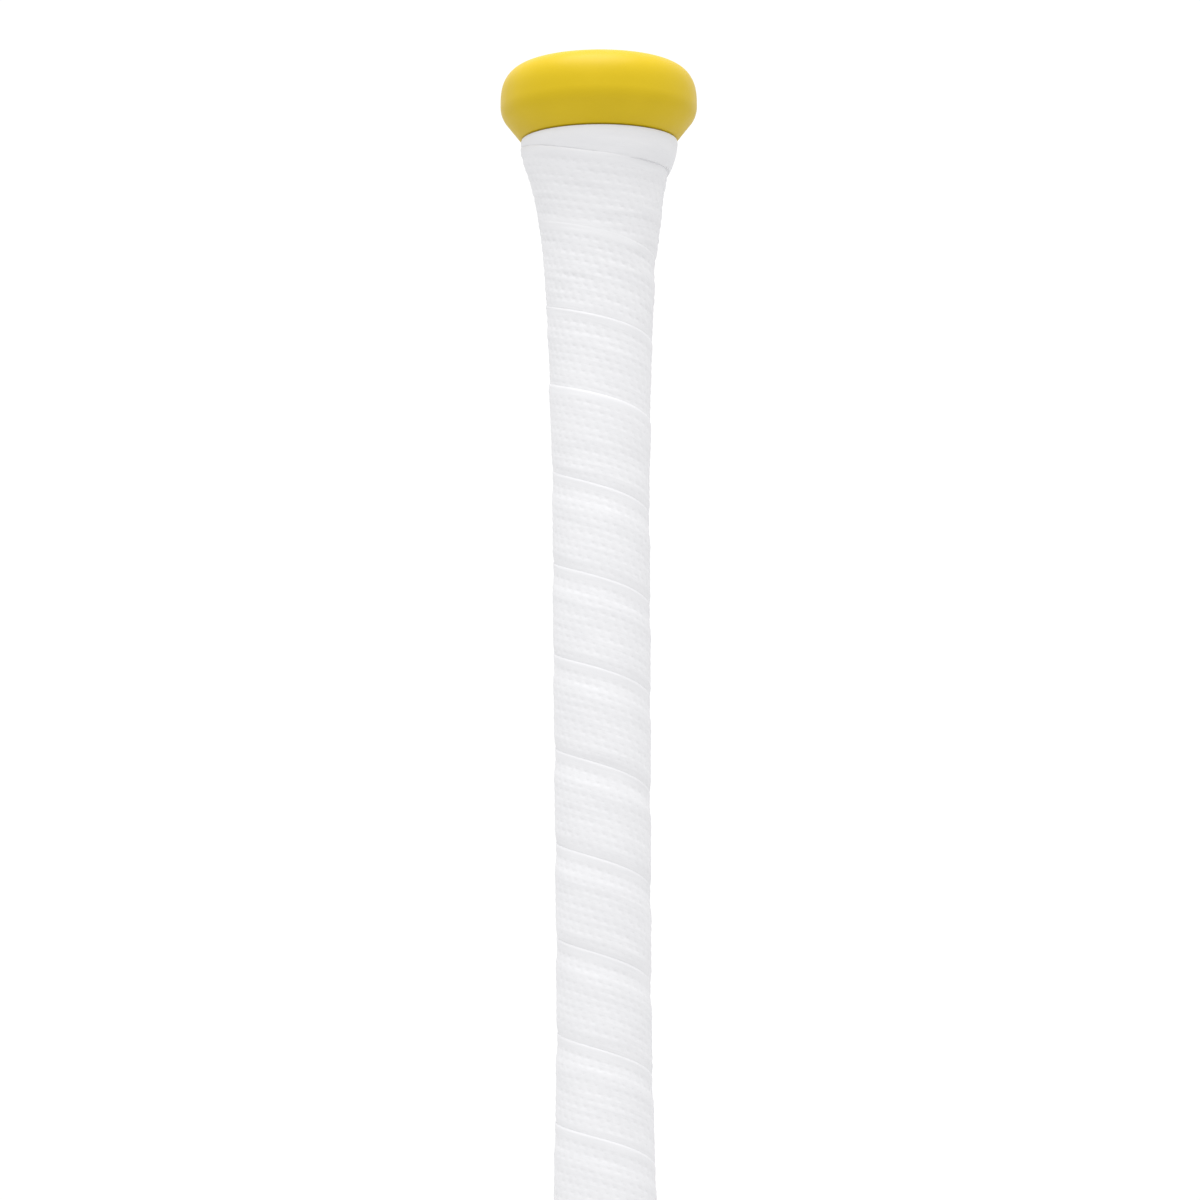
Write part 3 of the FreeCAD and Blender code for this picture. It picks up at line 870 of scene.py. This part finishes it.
# --------------------------------------------------------------------------------------------------
# Barrel: a moulded composite shell, sprayed gloss white, with plain yellow and charcoal rings
# masked off before the clear coat. It tapers into a throat that is bonded to the joint's sleeve.
# --------------------------------------------------------------------------------------------------
barrel_low, barrel_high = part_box("barrel_shell")
barrel_radius = barrel_high.x
barrel_wall = 3.2 * MM
throat_wall = 2.2 * MM
elastomer = 1.4 * MM
shoulder = (barrel_radius, 246.6 * MM)
taper_middle = (23.325 * MM, 326.6 * MM)
throat_base = (cone_radius(tube_low.z) + elastomer + throat_wall, tube_low.z)
throat_top = (cone_radius(barrel_high.z) + elastomer + throat_wall, barrel_high.z)
drop, run = shoulder[0] - taper_middle[0], taper_middle[1] - shoulder[1]
shoulder_bow = (drop * drop + run * run) / (2 * drop)
throat_bow = 418 * MM
lip = 0.3 * MM
barrel_outside = [(barrel_radius - lip, barrel_low.z), (barrel_radius, barrel_low.z + lip)]
for part in (0.25, 0.5, 0.75):
    barrel_outside.append((barrel_radius, barrel_low.z + (shoulder[1] - barrel_low.z) * part))
barrel_outside += bowed(shoulder, taper_middle, shoulder_bow, 20)
barrel_outside += bowed(taper_middle, throat_base, -throat_bow, 12)
barrel_outside += [throat_base, (throat_top[0], throat_top[1] - lip)]
barrel_outside += [(throat_top[0] - lip, throat_top[1])]
inner_middle = (taper_middle[0] - throat_wall, taper_middle[1])
inner_shoulder = (barrel_radius - barrel_wall, shoulder[1])
inner_throat = (throat_base[0] - throat_wall, throat_base[1])
barrel_inside = [(inner_shoulder[0], barrel_low.z)]
barrel_inside += bowed(inner_shoulder, inner_middle, shoulder_bow - barrel_wall, 12)
barrel_inside += bowed(inner_middle, inner_throat, -(throat_bow + throat_wall), 8)
barrel_inside += [inner_throat, (throat_top[0] - throat_wall, throat_top[1])]
barrel = turned("painted_barrel", barrel_outside + barrel_inside[::-1], sides=160, tube=True)
barrel_paint, tree, shader = paint_named("banded_barrel_paint")
coordinates = tree.nodes.new("ShaderNodeTexCoord")
upward = tree.nodes.new("ShaderNodeSeparateXYZ")
band_height = tree.nodes.new("ShaderNodeMapRange")
band_height.inputs["From Min"].default_value = barrel_low.z
band_height.inputs["From Max"].default_value = barrel_high.z
tree.links.new(coordinates.outputs["Object"], upward.inputs["Vector"])
tree.links.new(upward.outputs["Z"], band_height.inputs["Value"])
paint_white = (0.71, 0.71, 0.72, 1)
paint_yellow = (0.60, 0.415, 0.006, 1)
paint_charcoal = (0.03, 0.03, 0.034, 1)
# The heights in millimetres at which each colour starts. Below them the barrel is yellow.
painted_from = (
    (26, paint_charcoal),
    (28, paint_white),
    (252, paint_charcoal),
    (254, paint_yellow),
    (318, paint_charcoal),
    (320, paint_white),
    (330, paint_charcoal),
    (331.5, paint_white),
)
barrel_height = barrel_high.z - barrel_low.z
bands = tree.nodes.new("ShaderNodeValToRGB")
bands.color_ramp.interpolation = "CONSTANT"
bands.color_ramp.elements.remove(bands.color_ramp.elements[1])
bands.color_ramp.elements[0].color = paint_yellow
for start, colour in painted_from:
    stop = bands.color_ramp.elements.new((start * MM - barrel_low.z) / barrel_height)
    stop.color = colour
tree.links.new(band_height.outputs["Result"], bands.inputs["Fac"])
tree.links.new(bands.outputs["Color"], shader.inputs["Base Color"])
orange_peel(tree, shader)
finished(barrel, barrel_paint)
in_place_of(barrel, "barrel_shell")

# --------------------------------------------------------------------------------------------------
# Inside the barrel: the second composite wall that stiffens it, and the split aluminium ring that
# springs out against the shell and holds the wall up.
# --------------------------------------------------------------------------------------------------
raw_composite, tree, shader = paint_named("raw_composite", roughness=0.4)
plies = textured(tree, "ShaderNodeTexWave", Scale=120, Distortion=2)
shaded_between(tree, plies.outputs["Fac"], shader.inputs["Base Color"], grey(0.02), grey(0.055))
bumped(tree, shader, plies.outputs["Fac"], 0.05 * MM)
refinished("barrel_inner_sleeve", raw_composite)
ring_metal, tree, shader = paint_named("spring_aluminium", roughness=0.35, metallic=1)
mottled(tree, shader, grey(0.62), grey(0.74), scale=400)
refinished("sleeve_retaining_ring", ring_metal)

# --------------------------------------------------------------------------------------------------
# End cap: yellow moulded urethane with a rounded rim, a shallow dish and eight short radial slots
# in the dish. Its skirt is bonded into the barrel, and a rubber puck is cast behind its floor.
# --------------------------------------------------------------------------------------------------
cap_low, cap_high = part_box("end_cap")
bond_low, bond_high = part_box("end_cap_bond")
puck_low, puck_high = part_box("end_cap_puck")
cap_radius = cap_high.x
cap_edge = 3.5 * MM
dish_radius = 15 * MM
dish_depth = 2.5 * MM
skirt_radius = bond_high.x - 0.5 * MM
skirt_bore = puck_high.x
cap_rings = [(3 * MM, dish_depth), (6 * MM, dish_depth), (dish_radius - 0.6 * MM, dish_depth)]
cap_rings += [
    (dish_radius, dish_depth - 0.15 * MM),
    (dish_radius + 0.5 * MM, dish_depth - 0.5 * MM),
    (dish_radius + dish_depth - 0.5 * MM, 0.4 * MM),
    (dish_radius + dish_depth, 0.08 * MM),
    (dish_radius + dish_depth + 0.6 * MM, cap_low.z),
]
cap_rings += swept(cap_radius - cap_edge, cap_low.z + cap_edge, cap_edge, -90, 0, 10)
cap_rings += [
    (cap_radius, bond_low.z - 0.4 * MM),
    (cap_radius - 0.4 * MM, bond_low.z - 0.02 * MM),
    (skirt_radius, bond_low.z - 0.02 * MM),
    (skirt_radius, cap_high.z),
    (skirt_bore, cap_high.z),
    (skirt_bore, puck_low.z),
    (6 * MM, puck_low.z),
]
cap = turned("moulded_end_cap", cap_rings, sides=160)

# One rounded cutter for each slot, joined and cut out of the dish together.
slot_width = 2.4 * MM
slot_inner = 5 * MM
slot_outer = 13 * MM
slot_depth = 1.2 * MM
slot_count = 8
slot_middle = (slot_inner + slot_outer) / 2
slots = []
for number in range(slot_count):
    bpy.ops.object.select_all(action="DESELECT")
    bpy.ops.mesh.primitive_cube_add(size=1, location=(slot_middle, 0, dish_depth))
    slot = bpy.context.object
    slot.name = f"slot_cutter_{number}"
    slot.scale = (slot_outer - slot_inner, slot_width, 2 * slot_depth)
    bpy.ops.object.transform_apply(location=True, rotation=False, scale=True)
    bpy.ops.object.mode_set(mode="EDIT")
    cutter = bmesh.from_edit_mesh(slot.data)
    for edge in cutter.edges:
        edge.select_set(abs(edge.verts[0].co.z - edge.verts[1].co.z) > slot_depth)
    bmesh.update_edit_mesh(slot.data)
    bpy.ops.mesh.bevel(offset=0.48 * slot_width, segments=6)
    bpy.ops.mesh.select_all(action="SELECT")
    turn = 2 * math.pi * number / slot_count
    bpy.ops.transform.rotate(value=turn, orient_axis="Z", center_override=(0, 0, 0))
    bpy.ops.object.mode_set(mode="OBJECT")
    slots.append(slot)
bpy.ops.object.select_all(action="DESELECT")
for slot in slots:
    slot.select_set(True)
bpy.context.view_layer.objects.active = slots[0]
bpy.ops.object.join()
slot_tool = bpy.context.object
bpy.ops.object.select_all(action="DESELECT")
bpy.context.view_layer.objects.active = cap
cap.select_set(True)
slotting = cap.modifiers.new("slots", "BOOLEAN")
slotting.operation = "DIFFERENCE"
slotting.object = slot_tool
slotting.solver = "EXACT"
bpy.ops.object.modifier_apply(modifier=slotting.name)
bpy.data.objects.remove(slot_tool)
finished(cap, yellow_urethane, angle=35)
in_place_of(cap, "end_cap")
cap_bond, tree, shader = paint_named("amber_bond", roughness=0.25)
mottled(tree, shader, (0.42, 0.27, 0.08, 1), (0.52, 0.36, 0.13, 1), scale=250)
refinished("end_cap_bond", cap_bond)
refinished("end_cap_puck", black_rubber)
